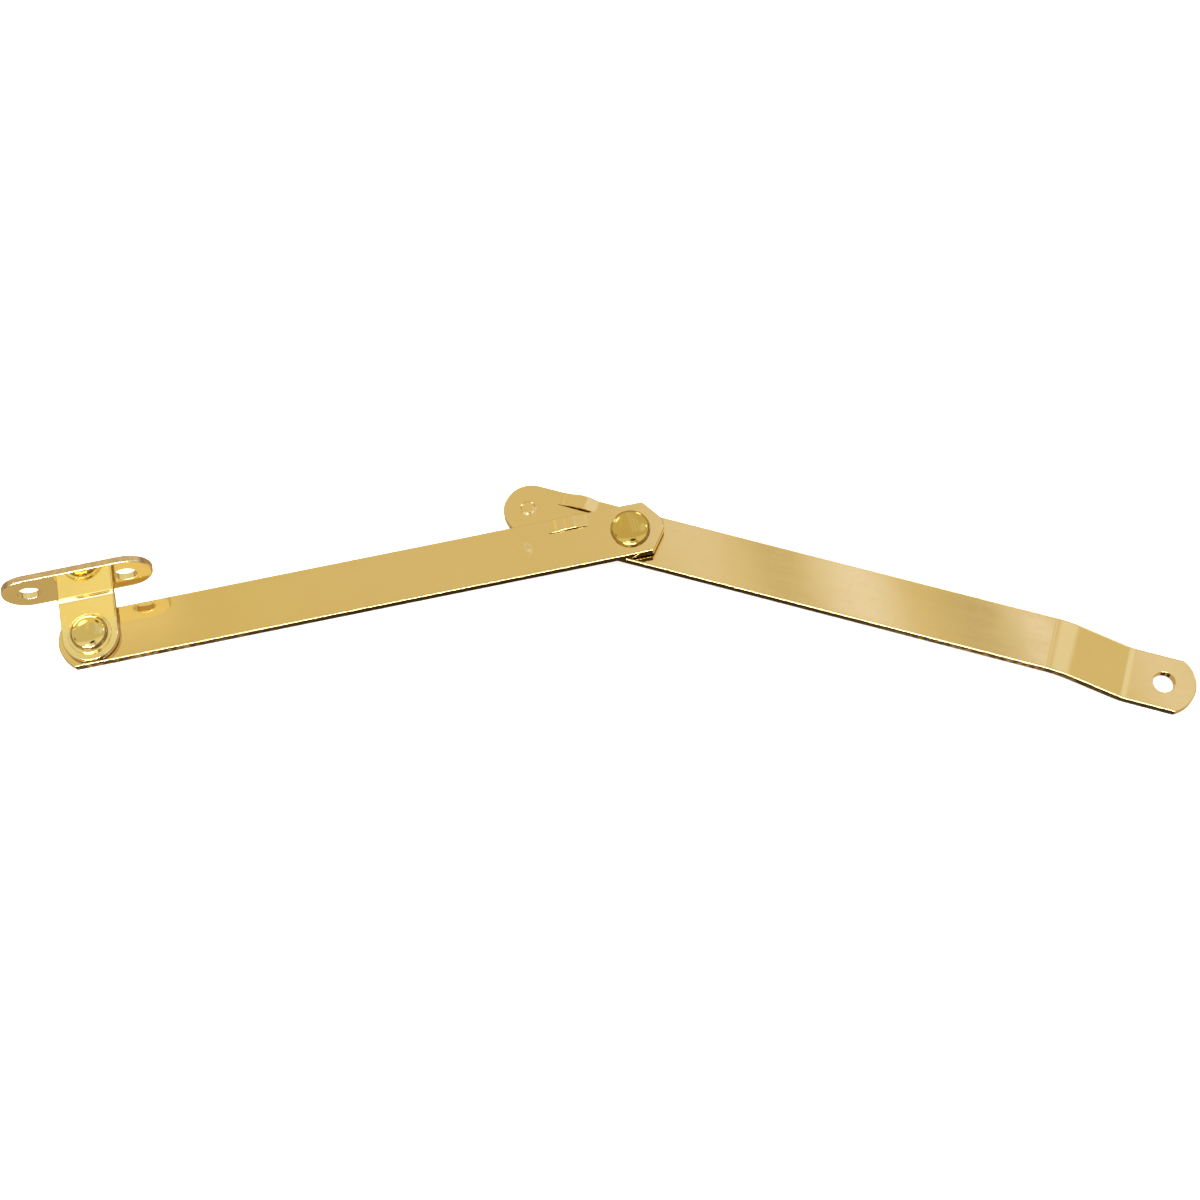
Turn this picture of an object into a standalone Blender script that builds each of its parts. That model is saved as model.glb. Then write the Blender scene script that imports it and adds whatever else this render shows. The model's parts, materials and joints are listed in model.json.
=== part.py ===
"""Folding stay for a casement window.

Two flat arms of brass-plated steel strip turn on each other at a middle rivet. A T-shaped
bracket turns on the first arm and is screwed to the sash or the frame. The far end of the
second arm is joggled back to a pad with a screw hole.

Frame: metres, +Z up, along both rivets. The origin is the centre of the bracket's mounting
face, which looks along +Y, and the front arm runs along +X. The stay lies as it works,
with its arms level.
"""

import math

import bmesh
import bpy
from mathutils import Vector

# Driving dimensions, in metres.
ARM_WIDTH = 0.0130
ARM_THICKNESS = 0.0022
ARM_REACH = 0.1270          # pivot to pivot, and middle pivot to end screw hole
REST_FOLD_DEG = 28.7        # how far the rear arm is folded from straight
ARM_GAP = 0.0007            # between the two arms' faces
SCREW_HOLE_RADIUS = 0.0025

BRACKET_THICKNESS = 0.0016
BRACKET_BEND_RADIUS = 0.0009   # inside the bend
FLANGE_WIDTH = 0.0124
FLANGE_HOLE_PITCH = 0.0222
TAB_WIDTH = 0.0130
PIVOT_DROP = 0.0112         # mounting face to the bracket rivet's axis

RIVET_RADIUS = 0.0020
RUNNING_GAP = 0.0003        # round a rivet, and between the tab and the arm
SEAT_GAP = 0.0002           # under a rivet's head and a washer

# Ends of the arms: arcs struck from the pivots and the screw hole. The front arm's end at
# the middle rivet is a short arc between two corners clipped off straight.
BRACKET_END_RADIUS = 0.0079
MIDDLE_END_RADIUS = 0.0080
MIDDLE_END_TURN_DEG = 8.5      # half of what the short arc turns through
MIDDLE_CLIP_START = 0.0042     # pivot to where the clipped corners start
PAD_END_RADIUS = 0.0074
TAIL_REACH = 0.0312         # middle pivot to the tip of the rear arm's tail

# Joggle of the rear arm, as distances along it from the middle pivot.
JOGGLE_DEPTH = 0.0054
FIRST_BEND_AT = 0.1029
FIRST_BEND_LENGTH = 0.0060
SECOND_BEND_AT = 0.1185
SECOND_BEND_LENGTH = 0.0024

# Lanced stop: a strip along one edge of each arm, pressed forward from a slit.
SLIT_OFFSET = 0.0030        # slit to the arm's centre line
SLIT_HALF_WIDTH = 0.00005
STOP_NEAR = 0.0095          # nearest end of the slit, from the middle pivot
STOP_FAR = 0.0190
STOP_RISE = 0.0013
STOP_RAMP = 0.0034          # length of each sloped end of the pressed strip

# Detent: a nipple on the tail, which snaps into a dimple of the front arm.
DETENT_REACH = 0.0254
NIPPLE_RADIUS = 0.0021
NIPPLE_RISE = 0.00045
DIMPLE_RADIUS = 0.0022
DIMPLE_RISE = 0.00040

# Rivets and the washer.
BRACKET_HEAD_RADIUS = 0.00435
MIDDLE_HEAD_RADIUS = 0.0047
HEAD_RISE = 0.0019
HEAD_ROUNDNESS = 2.5        # exponent of the head's superellipse: 2 is an ellipse
UPSET_RADIUS = 0.0034
UPSET_RISE = 0.0011
UPSET_CHAMFER = 0.0004
WASHER_RADIUS = 0.0050
WASHER_THICKNESS = 0.0005

# Fineness of the round shapes.
END_STEPS = 12
HOLE_STEPS = 24
DOME_RINGS = 3
TURNED_STEPS = 32
HEAD_STEPS = 7
BEND_STEPS = 6
RAMP_STEPS = 4

# Levels along Z, worked out from the stack of sheets.
TAB_FRONT_Z = -FLANGE_WIDTH / 2 - BRACKET_BEND_RADIUS
TAB_BACK_Z = TAB_FRONT_Z - BRACKET_THICKNESS
FRONT_ARM_FRONT_Z = TAB_BACK_Z - RUNNING_GAP
FRONT_ARM_BACK_Z = FRONT_ARM_FRONT_Z - ARM_THICKNESS
REAR_ARM_FRONT_Z = FRONT_ARM_BACK_Z - ARM_GAP
REAR_ARM_BACK_Z = REAR_ARM_FRONT_Z - ARM_THICKNESS

BRASS_COLOUR = (0.79, 0.58, 0.24, 1.0)
RIVET_COLOUR = (0.74, 0.53, 0.19, 1.0)
BRASS_ROUGHNESS = 0.16
RIVET_ROUGHNESS = 0.12


# --- plain outlines in the flat blank --------------------------------------------------

def arc(centre, radius, start, stop, steps):
    """Points of an arc, with both its ends."""
    angles = [start + (stop - start) * i / steps for i in range(steps + 1)]
    return [Vector((centre[0] + radius * math.cos(a), centre[1] + radius * math.sin(a))) for a in angles]


def circle(centre, radius, steps=HOLE_STEPS):
    """Points of a full circle."""
    return arc(centre, radius, 0.0, 2 * math.pi, steps)[:-1]


def arc_end(at, radius, facing):
    """One end of an arm: an arc struck from the point at, facing +X or, at pi, -X."""
    turn = math.asin(ARM_WIDTH / 2 / radius)
    return arc((at, 0.0), radius, facing - turn, facing + turn, END_STEPS)


def clipped_end(at):
    """The front arm's end at the middle rivet."""
    turn = math.radians(MIDDLE_END_TURN_DEG)
    nose = arc((at, 0.0), MIDDLE_END_RADIUS, -turn, turn, END_STEPS // 3)
    lower = Vector((at + MIDDLE_CLIP_START, -ARM_WIDTH / 2))
    upper = Vector((at + MIDDLE_CLIP_START, ARM_WIDTH / 2))
    return [lower] + nose + [upper]


def slit_outline(pivot_at):
    """The stop's slit: a hair-wide lens between the two ends of the pressed strip."""
    far = Vector((pivot_at - STOP_FAR, SLIT_OFFSET))
    near = Vector((pivot_at - STOP_NEAR, SLIT_OFFSET))
    inset = Vector((STOP_RAMP / RAMP_STEPS, 0.0))
    side = Vector((0.0, SLIT_HALF_WIDTH))
    return [far, far + inset - side, near - inset - side, near, near - inset + side, far + inset + side]


# --- blanks and sheets -----------------------------------------------------------------

def fill_blank(loops):
    """A flat mesh of the first loop, with the other loops left open."""
    blank = bmesh.new()
    edges = []
    for loop in loops:
        corners = [blank.verts.new((p.x, p.y, 0.0)) for p in loop]
        edges += [blank.edges.new(pair) for pair in zip(corners, corners[1:] + corners[:1])]
    bmesh.ops.triangle_fill(blank, edges=edges, use_beauty=True)
    return blank


def fill_dome(blank, centre, radius):
    """Rings of faces inside a round opening of the blank, ready to be pressed."""
    rings = []
    for ring in range(DOME_RINGS):
        share = 1.0 - ring / DOME_RINGS
        rings.append([blank.verts.new((p.x, p.y, 0.0)) for p in circle(centre, radius * share)])
    tip = blank.verts.new((centre[0], centre[1], 0.0))
    for outer, inner in zip(rings, rings[1:]):
        for i in range(HOLE_STEPS):
            j = (i + 1) % HOLE_STEPS
            blank.faces.new((outer[i], outer[j], inner[j], inner[i]))
    for i in range(HOLE_STEPS):
        blank.faces.new((rings[-1][i], rings[-1][(i + 1) % HOLE_STEPS], tip))
    bmesh.ops.remove_doubles(blank, verts=blank.verts[:], dist=1e-7)


def cut_across(blank, places):
    """Edges straight across the blank at each place along X, where the sheet will bend."""
    for place in places:
        geometry = blank.verts[:] + blank.edges[:] + blank.faces[:]
        bmesh.ops.bisect_plane(blank, geom=geometry, dist=1e-7, plane_co=(place, 0, 0), plane_no=(1, 0, 0))


def thicken(name, blank, form, thickness):
    """Turn a flat blank into a bent sheet.

    form(u, w) gives the middle of the sheet and its unit normal for the blank's point
    (u, w).
    """
    sheet = bmesh.new()
    front = {}
    back = {}
    for corner in blank.verts:
        middle, normal = form(corner.co.x, corner.co.y)
        front[corner] = sheet.verts.new(middle + normal * thickness / 2)
        back[corner] = sheet.verts.new(middle - normal * thickness / 2)
    for face in blank.faces:
        sheet.faces.new([front[v] for v in face.verts])
        sheet.faces.new([back[v] for v in reversed(face.verts)])
    for edge in blank.edges:
        if len(edge.link_faces) == 1:
            a, b = edge.verts
            sheet.faces.new((front[a], front[b], back[b], back[a]))
    blank.free()
    return finish_mesh(name, sheet)


def finish_mesh(name, bm):
    """A mesh with its faces pointing out, smooth on round stretches."""
    bmesh.ops.recalc_face_normals(bm, faces=bm.faces[:])
    mesh = bpy.data.meshes.new(name)
    bm.to_mesh(mesh)
    bm.free()
    mesh.shade_smooth()
    mesh.set_sharp_from_angle(angle=math.radians(28))
    return mesh


def turned(name, profile, closed=False):
    """A solid of revolution about Z from (radius, height) points."""
    bm = bmesh.new()
    points = [bm.verts.new((radius, 0.0, height)) for radius, height in profile]
    pairs = list(zip(points, points[1:]))
    if closed:
        pairs.append((points[-1], points[0]))
    edges = [bm.edges.new(pair) for pair in pairs]
    bmesh.ops.spin(bm, geom=points + edges, cent=(0, 0, 0), axis=(0, 0, 1), angle=2 * math.pi,
                   steps=TURNED_STEPS, use_merge=True)
    bmesh.ops.remove_doubles(bm, verts=bm.verts[:], dist=1e-7)
    return finish_mesh(name, bm)


# --- pressed and bent forms ------------------------------------------------------------

def smooth_step(share):
    """0 to 1 with level ends."""
    share = min(max(share, 0.0), 1.0)
    return share * share * (3 - 2 * share)


def stop_lift(u, w, pivot_at):
    """How far the stop's strip stands forward at the blank's point (u, w)."""
    if w <= SLIT_OFFSET:
        return 0.0
    reach = pivot_at - u
    rising = smooth_step((reach - STOP_NEAR) / STOP_RAMP)
    falling = smooth_step((STOP_FAR - reach) / STOP_RAMP)
    return STOP_RISE * min(rising, falling)


def dome_lift(u, w, centre, radius, rise):
    """How far a pressed dome stands forward at the blank's point (u, w)."""
    away = math.hypot(u - centre[0], w - centre[1]) / radius
    if away >= 1.0:
        return 0.0
    return rise * (1 - away * away)


def ramp_places(start, stop, steps):
    """Evenly spaced places from start to stop, with both ends."""
    return [start + (stop - start) * i / steps for i in range(steps + 1)]


def stop_places(pivot_at):
    """Where an arm's blank is cut across for the stop's sloped ends."""
    near = ramp_places(pivot_at - STOP_NEAR - STOP_RAMP, pivot_at - STOP_NEAR, RAMP_STEPS)
    far = ramp_places(pivot_at - STOP_FAR, pivot_at - STOP_FAR + STOP_RAMP, RAMP_STEPS)
    return far + near


def bend_share(u, at, length):
    """Integral of a bend: 0 before it, and the distance past its middle after it."""
    along = u - (at - length / 2)
    if along <= 0:
        return 0.0
    if along < length:
        return along * along / (2 * length)
    return along - length / 2


def bend_slope(u, at, length):
    """0 before a bend, 1 after it, and even in between."""
    return min(max((u - (at - length / 2)) / length, 0.0), 1.0)


def joggle(u):
    """Depth and slope of the rear arm's middle surface at u."""
    pitch = JOGGLE_DEPTH / (SECOND_BEND_AT - FIRST_BEND_AT)
    down = bend_share(u, FIRST_BEND_AT, FIRST_BEND_LENGTH) - bend_share(u, SECOND_BEND_AT, SECOND_BEND_LENGTH)
    slope = bend_slope(u, FIRST_BEND_AT, FIRST_BEND_LENGTH) - bend_slope(u, SECOND_BEND_AT, SECOND_BEND_LENGTH)
    return -pitch * down, -pitch * slope


def front_arm_form(u, w):
    """The front arm is flat but for its stop and its dimple."""
    lift = stop_lift(u, w, ARM_REACH)
    lift += dome_lift(u, w, (ARM_REACH - DETENT_REACH, 0.0), DIMPLE_RADIUS, DIMPLE_RISE)
    return Vector((u, w, lift)), Vector((0, 0, 1))


def rear_arm_form(u, w):
    """The rear arm has its own stop, the nipple on its tail, and the joggle."""
    depth, slope = joggle(u)
    lift = stop_lift(u, w, 0.0) + dome_lift(u, w, (-DETENT_REACH, 0.0), NIPPLE_RADIUS, NIPPLE_RISE)
    return Vector((u, w, depth + lift)), Vector((-slope, 0, 1)).normalized()


def bracket_form(u, w):
    """Flange in the plane y = 0, a quarter turn, then the tab standing in Z."""
    middle_radius = BRACKET_BEND_RADIUS + BRACKET_THICKNESS / 2
    bend_start = FLANGE_WIDTH / 2
    turn = min(max((u - bend_start) / middle_radius, 0.0), math.pi / 2)
    past = max(u - bend_start - middle_radius * math.pi / 2, 0.0)
    flat = min(u, bend_start)
    y = -BRACKET_THICKNESS / 2 - middle_radius * (1 - math.cos(turn)) - past
    z = -flat - middle_radius * math.sin(turn)
    return Vector((w, y, z)), Vector((0, math.cos(turn), -math.sin(turn)))


# --- the pieces ------------------------------------------------------------------------

def front_arm_mesh():
    """Strip with a rivet hole at each end, the lanced stop and the dimple."""
    dimple = (ARM_REACH - DETENT_REACH, 0.0)
    outline = clipped_end(ARM_REACH) + arc_end(0.0, BRACKET_END_RADIUS, math.pi)
    hole = RIVET_RADIUS + RUNNING_GAP
    loops = [outline, circle((0.0, 0.0), hole), circle((ARM_REACH, 0.0), hole)]
    loops += [slit_outline(ARM_REACH), circle(dimple, DIMPLE_RADIUS)]
    blank = fill_blank(loops)
    fill_dome(blank, dimple, DIMPLE_RADIUS)
    cut_across(blank, stop_places(ARM_REACH))
    return thicken("front_arm", blank, front_arm_form, ARM_THICKNESS)


def rear_arm_mesh():
    """Strip with its tail, stop and nipple at one end and the joggled pad at the other."""
    tail_centre = -(TAIL_REACH - ARM_WIDTH / 2)
    nipple = (-DETENT_REACH, 0.0)
    outline = arc_end(ARM_REACH, PAD_END_RADIUS, 0.0) + arc_end(tail_centre, ARM_WIDTH / 2, math.pi)
    loops = [outline, circle((0.0, 0.0), RIVET_RADIUS + RUNNING_GAP)]
    loops += [circle((ARM_REACH, 0.0), SCREW_HOLE_RADIUS), slit_outline(0.0), circle(nipple, NIPPLE_RADIUS)]
    blank = fill_blank(loops)
    fill_dome(blank, nipple, NIPPLE_RADIUS)
    first = ramp_places(FIRST_BEND_AT - FIRST_BEND_LENGTH / 2, FIRST_BEND_AT + FIRST_BEND_LENGTH / 2, BEND_STEPS)
    second = ramp_places(SECOND_BEND_AT - SECOND_BEND_LENGTH / 2, SECOND_BEND_AT + SECOND_BEND_LENGTH / 2,
                         BEND_STEPS)
    cut_across(blank, stop_places(0.0) + first + second)
    return thicken("rear_arm", blank, rear_arm_form, ARM_THICKNESS)


def bracket_mesh():
    """T-shaped blank: a round-ended flange with two screw holes, and a tab bent square to it."""
    half = FLANGE_WIDTH / 2
    middle_radius = BRACKET_BEND_RADIUS + BRACKET_THICKNESS / 2
    bend_stop = half + middle_radius * math.pi / 2
    pivot_u = bend_stop + PIVOT_DROP - BRACKET_THICKNESS / 2 - middle_radius
    hole_w = FLANGE_HOLE_PITCH / 2
    tab_half = TAB_WIDTH / 2
    outline = arc((0.0, hole_w), half, math.pi, 0.0, END_STEPS)
    outline += arc((pivot_u, 0.0), tab_half, math.pi / 2, -math.pi / 2, END_STEPS * 2)
    outline += arc((0.0, -hole_w), half, 0.0, -math.pi, END_STEPS)
    outline.insert(END_STEPS + 1, Vector((half, tab_half)))
    outline.insert(len(outline) - END_STEPS - 1, Vector((half, -tab_half)))
    loops = [outline, circle((0.0, hole_w), SCREW_HOLE_RADIUS), circle((0.0, -hole_w), SCREW_HOLE_RADIUS)]
    loops.append(circle((pivot_u, 0.0), RIVET_RADIUS + RUNNING_GAP))
    blank = fill_blank(loops)
    cut_across(blank, ramp_places(half, bend_stop, BEND_STEPS))
    return thicken("bracket", blank, bracket_form, BRACKET_THICKNESS)


def rivet_mesh(name, head_radius, grip):
    """Button head, shank through the grip, and the upset end behind. Z = 0 is under the head."""
    profile = []
    for i in range(HEAD_STEPS + 1):
        turn = math.pi / 2 * (1 - i / HEAD_STEPS)
        power = 2 / HEAD_ROUNDNESS
        radius = head_radius * max(math.cos(turn), 0.0) ** power
        profile.append((radius if i else 0.0, HEAD_RISE * max(math.sin(turn), 0.0) ** power))
    back = -grip - UPSET_RISE
    profile += [(RIVET_RADIUS, 0.0), (RIVET_RADIUS, -grip), (UPSET_RADIUS, -grip)]
    profile += [(UPSET_RADIUS, back + UPSET_CHAMFER), (UPSET_RADIUS - UPSET_CHAMFER, back), (0.0, back)]
    return turned(name, profile)


def washer_mesh():
    """Flat ring under the bracket rivet's head. Z = 0 is its underside."""
    inner = RIVET_RADIUS + RUNNING_GAP
    profile = [(inner, 0.0), (WASHER_RADIUS, 0.0), (WASHER_RADIUS, WASHER_THICKNESS), (inner, WASHER_THICKNESS)]
    return turned("bracket_washer", profile, closed=True)


def brass(name, colour, roughness):
    """Polished brass plating."""
    material = bpy.data.materials.new(name)
    material.use_nodes = True
    shader = material.node_tree.nodes["Principled BSDF"]
    shader.inputs["Base Color"].default_value = colour
    shader.inputs["Metallic"].default_value = 1.0
    shader.inputs["Roughness"].default_value = roughness
    return material


def place(mesh, material, location, parent=None, turn_deg=0.0):
    """An object for one piece, at its place in its parent's frame."""
    piece = bpy.data.objects.new(mesh.name, mesh)
    bpy.context.scene.collection.objects.link(piece)
    mesh.materials.append(material)
    piece.location = location
    piece.rotation_euler.z = math.radians(turn_deg)
    piece.parent = parent
    return piece


def main():
    """Build the stay with its rear arm folded to the rest angle."""
    for old in list(bpy.data.objects):
        bpy.data.objects.remove(old, do_unlink=True)

    bracket_material = brass("bracket_brass", BRASS_COLOUR, BRASS_ROUGHNESS)
    arm_material = brass("arm_brass", BRASS_COLOUR, BRASS_ROUGHNESS)
    rivet_material = brass("rivet_brass", RIVET_COLOUR, RIVET_ROUGHNESS)

    bracket = place(bracket_mesh(), bracket_material, (0, 0, 0))
    washer_z = TAB_FRONT_Z + SEAT_GAP
    head_z = washer_z + WASHER_THICKNESS + SEAT_GAP
    place(washer_mesh(), rivet_material, (0, -PIVOT_DROP, washer_z), bracket)
    bracket_grip = head_z - FRONT_ARM_BACK_Z + SEAT_GAP
    bracket_rivet = rivet_mesh("bracket_rivet", BRACKET_HEAD_RADIUS, bracket_grip)
    place(bracket_rivet, rivet_material, (0, -PIVOT_DROP, head_z), bracket)

    front_middle_z = (FRONT_ARM_FRONT_Z + FRONT_ARM_BACK_Z) / 2
    front_arm = place(front_arm_mesh(), arm_material, (0, -PIVOT_DROP, front_middle_z), bracket)

    middle_head_z = FRONT_ARM_FRONT_Z + SEAT_GAP
    middle_grip = middle_head_z - REAR_ARM_BACK_Z + SEAT_GAP
    middle_rivet = rivet_mesh("mid_rivet", MIDDLE_HEAD_RADIUS, middle_grip)
    place(middle_rivet, rivet_material, (ARM_REACH, 0, middle_head_z - front_middle_z), front_arm)

    rear_middle_z = (REAR_ARM_FRONT_Z + REAR_ARM_BACK_Z) / 2
    place(rear_arm_mesh(), arm_material, (ARM_REACH, 0, rear_middle_z - front_middle_z), front_arm,
          -REST_FOLD_DEG)


main()
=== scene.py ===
"""Looks of the folding window stay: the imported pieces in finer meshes, brass plating and a soft studio.

Each piece is built in its own frame, with x along the strip, y across it and z toward the
viewer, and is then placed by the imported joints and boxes. Metres throughout.
"""

import json
import math

import bmesh
import bpy
from mathutils import Matrix, Vector


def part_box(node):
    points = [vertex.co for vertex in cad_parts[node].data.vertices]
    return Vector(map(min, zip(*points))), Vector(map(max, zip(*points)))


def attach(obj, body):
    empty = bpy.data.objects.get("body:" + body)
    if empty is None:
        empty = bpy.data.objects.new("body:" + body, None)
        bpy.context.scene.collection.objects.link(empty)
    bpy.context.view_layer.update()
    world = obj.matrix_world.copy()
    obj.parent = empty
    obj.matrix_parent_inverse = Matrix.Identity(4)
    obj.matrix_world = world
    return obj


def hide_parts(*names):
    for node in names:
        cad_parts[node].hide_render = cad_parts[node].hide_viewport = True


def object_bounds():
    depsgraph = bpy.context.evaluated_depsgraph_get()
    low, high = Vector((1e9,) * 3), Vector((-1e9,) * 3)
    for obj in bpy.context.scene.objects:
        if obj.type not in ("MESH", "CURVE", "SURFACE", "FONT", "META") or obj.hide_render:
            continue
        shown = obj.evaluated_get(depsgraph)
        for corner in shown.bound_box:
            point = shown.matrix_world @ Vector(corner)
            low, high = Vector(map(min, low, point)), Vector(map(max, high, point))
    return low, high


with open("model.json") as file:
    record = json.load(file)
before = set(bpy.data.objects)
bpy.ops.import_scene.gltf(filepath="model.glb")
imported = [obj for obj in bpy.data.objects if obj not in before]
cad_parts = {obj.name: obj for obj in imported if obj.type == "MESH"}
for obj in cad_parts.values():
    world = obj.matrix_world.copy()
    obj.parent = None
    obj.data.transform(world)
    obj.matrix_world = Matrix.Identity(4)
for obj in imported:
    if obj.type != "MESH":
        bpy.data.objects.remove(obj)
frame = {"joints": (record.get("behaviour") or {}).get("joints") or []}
cad_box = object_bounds()

MM = 0.001

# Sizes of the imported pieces, which the finer meshes keep.
ARM_WIDTH = 13.0 * MM
ARM_THICKNESS = 2.2 * MM
BRACKET_END_RADIUS = 7.9 * MM
MIDDLE_NOSE_REACH, MIDDLE_NOSE_HALF = 7.95 * MM, 1.18 * MM
MIDDLE_CLIP_START = 4.2 * MM
PAD_END_RADIUS = 7.4 * MM
TAIL_REACH = 31.2 * MM
SCREW_HOLE_RADIUS = 2.5 * MM
RIVET_HOLE_RADIUS = 2.3 * MM
BRACKET_THICKNESS = 1.6 * MM
BRACKET_BEND_RADIUS = 0.9 * MM
FLANGE_WIDTH = 12.4 * MM
FLANGE_HOLE_PITCH = 22.2 * MM
TAB_WIDTH = 13.0 * MM
JOGGLE_DEPTH = 5.4 * MM
FIRST_BEND_AT, FIRST_BEND_LENGTH = 102.9 * MM, 6.0 * MM
SECOND_BEND_AT, SECOND_BEND_LENGTH = 118.5 * MM, 2.4 * MM
SLIT_OFFSET = 3.0 * MM
SLIT_HALF_WIDTH = 0.05 * MM
STOP_NEAR, STOP_FAR = 9.5 * MM, 19.0 * MM
DETENT_REACH = 25.4 * MM
BRACKET_HEAD_RADIUS, MIDDLE_HEAD_RADIUS = 4.35 * MM, 4.7 * MM
UPSET_RADIUS = 3.4 * MM
SHANK_RADIUS = 2.0 * MM
WASHER_RADIUS, WASHER_HOLE_RADIUS = 5.0 * MM, 2.2 * MM

# Shapes that only the looks have. A crease is (distance from the middle pivot, length).
STOP_CREASES = (
    (9.8 * MM, 0.6 * MM),
    (12.3 * MM, 0.6 * MM),
    (14.4 * MM, 1.0 * MM),
    (17.7 * MM, 2.6 * MM),
)
FRONT_STOP_RISE, REAR_STOP_RISE = 0.55 * MM, 1.05 * MM
SLIT_SHOULDER = 0.35 * MM
NIPPLE_RADIUS, NIPPLE_TOP_RADIUS, NIPPLE_RISE = 2.0 * MM, 1.25 * MM, 0.45 * MM
DIMPLE_RADIUS, DIMPLE_TOP_RADIUS, DIMPLE_RISE = 2.2 * MM, 0.2 * MM, 0.36 * MM
CORNER_ROUND = 0.55 * MM
NOSE_ROUND = 2.0 * MM
ARM_ROLL, ARM_BURR = 0.36 * MM, 0.12 * MM
BRACKET_ROLL, BRACKET_BURR = 0.36 * MM, 0.12 * MM
SLIT_ROLL = 0.20 * MM
HOLE_ROLL = 0.22 * MM
FLAT_MARGIN = 0.08 * MM
HEAD_ROUNDNESS = 2.5        # exponent of a rivet head's superellipse: 2 is an ellipse
UPSET_EASE = 0.45 * MM
UPSET_HOLLOW = ((1.9 * MM, 0.0), (1.5 * MM, 0.10 * MM), (0.9 * MM, 0.22 * MM), (0.0, 0.26 * MM))
WASHER_EASE = 0.22 * MM

# How dark the edges are, from 0 to 1, and where that starts: a dull sheared finish, with painted shade on
# the arms' lower sides and at the base of the rivet heads and the washer.
DARK_EDGE_FACING, DARK_EDGE_FADE = 0.8, 0.15          # how far a side has to face down the strip's -Y
SHADE_FREE_REACH, SHADE_FREE_FADE = 8.0 * MM, 4.0 * MM
# The slit's torn wall: its dull finish and painted shade.
SLIT_DARKENING = 0.65
# Painted shade at the base of the rivet heads and the washer, where they sit on the sheet.
RIVET_BASE_SHADE, WASHER_BASE_SHADE = 0.18, 0.12

# Fineness of the meshes.
ARC_STEPS, HOLE_STEPS, CORNER_STEPS, ROUND_STEPS = 36, 64, 5, 6
BEND_STEPS, CREASE_STEPS, DOME_RINGS = 14, 5, 12
HEAD_STEPS, SMALL_ROUND_STEPS, TURNED_STEPS = 40, 8, 96
SHARP_EDGE_DEG = 40
MERGE_DISTANCE = 1e-8


# --- places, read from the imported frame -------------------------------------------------

joints = {joint["name"]: joint for joint in frame["joints"]}
bracket_pivot = Vector(joints["bracket_pivot"]["pos_m"])
middle_pivot = Vector(joints["middle_pivot"]["pos_m"])
ARM_REACH = (middle_pivot - bracket_pivot).xy.length
FOLD = math.radians(joints["middle_pivot"]["range_deg"][1])
FRONT_ARM_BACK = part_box("front_arm")[0].z
REAR_ARM_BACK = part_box("rear_arm")[0].z + JOGGLE_DEPTH
TAB_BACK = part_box("bracket")[0].z

# The bracket's blank, with x down the tab: where its bend starts and stops, and its rivet.
BEND_MIDDLE_RADIUS = BRACKET_BEND_RADIUS + BRACKET_THICKNESS / 2
BEND_START = FLANGE_WIDTH / 2
BEND_STOP = BEND_START + BEND_MIDDLE_RADIUS * math.pi / 2
TAB_PIVOT_AT = BEND_STOP - bracket_pivot.y - BRACKET_THICKNESS / 2 - BEND_MIDDLE_RADIUS


# --- outlines in the flat ---------------------------------------------------------------

def arc(centre, radius, start, stop, steps):
    """Points of an arc, with both its ends."""
    angles = [start + (stop - start) * i / steps for i in range(steps + 1)]
    return [Vector((centre[0] + radius * math.cos(a), centre[1] + radius * math.sin(a))) for a in angles]


def end_with_corners(at, radius, half, inset):
    """One end of a strip along +X: an arc struck from at, eased into both sides."""
    ease = CORNER_ROUND
    across = half - ease
    along = math.sqrt((radius - ease) ** 2 - across ** 2)
    meet = math.atan2(across, along)
    lower = arc((at + along, -across), ease - inset, -math.pi / 2, -meet, CORNER_STEPS)
    middle = arc((at, 0.0), radius - inset, -meet, meet, ARC_STEPS)
    upper = arc((at + along, across), ease - inset, meet, math.pi / 2, CORNER_STEPS)
    return lower + middle[1:-1] + upper


def round_end(at, half, inset):
    """A full round end of a strip along +X."""
    return arc((at, 0.0), half - inset, -math.pi / 2, math.pi / 2, ARC_STEPS)


def mirrored(points):
    """The same end turned to face -X, still running counter-clockwise."""
    return [Vector((-p.x, -p.y)) for p in points]


def circle(centre, radius, steps=HOLE_STEPS):
    """Points of a full circle."""
    return arc(centre, radius, 0.0, 2 * math.pi, steps)[:-1]


def eased_corners(path, inset):
    """The inner corners of a path of (x, y, radius), rounded, where each turns left."""
    points = []
    for before, here, after in zip(path, path[1:], path[2:]):
        heading = math.atan2(here[1] - before[1], here[0] - before[0])
        turn = (math.atan2(after[1] - here[1], after[0] - here[0]) - heading) % (2 * math.pi)
        radius = here[2]
        reach = radius * math.tan(turn / 2)
        x = here[0] - math.cos(heading) * reach - math.sin(heading) * radius
        y = here[1] - math.sin(heading) * reach + math.cos(heading) * radius
        start = heading - math.pi / 2
        points += arc((x, y), radius - inset, start, start + turn, CORNER_STEPS)
    return points


def clipped_end(at, half, inset):
    """The front arm's end at the middle rivet, with a short nose between two clipped corners."""
    clip, nose, nose_half = at + MIDDLE_CLIP_START, at + MIDDLE_NOSE_REACH, MIDDLE_NOSE_HALF
    path = [(at, -half, 0.0), (clip, -half, CORNER_ROUND), (nose, -nose_half, NOSE_ROUND)]
    path += [(nose, nose_half, NOSE_ROUND), (clip, half, CORNER_ROUND), (at, half, 0.0)]
    return eased_corners(path, inset)


def front_arm_outline(inset):
    """The front arm, with its bracket pivot at 0."""
    half = ARM_WIDTH / 2
    right = clipped_end(ARM_REACH, half, inset)
    left = mirrored(end_with_corners(0.0, BRACKET_END_RADIUS, half, inset))
    return right + left


def rear_arm_outline(inset):
    """The rear arm, with the middle pivot at 0."""
    half = ARM_WIDTH / 2
    right = end_with_corners(ARM_REACH, PAD_END_RADIUS, half, inset)
    left = mirrored(round_end(TAIL_REACH - half, half, inset))
    return right + left


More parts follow.
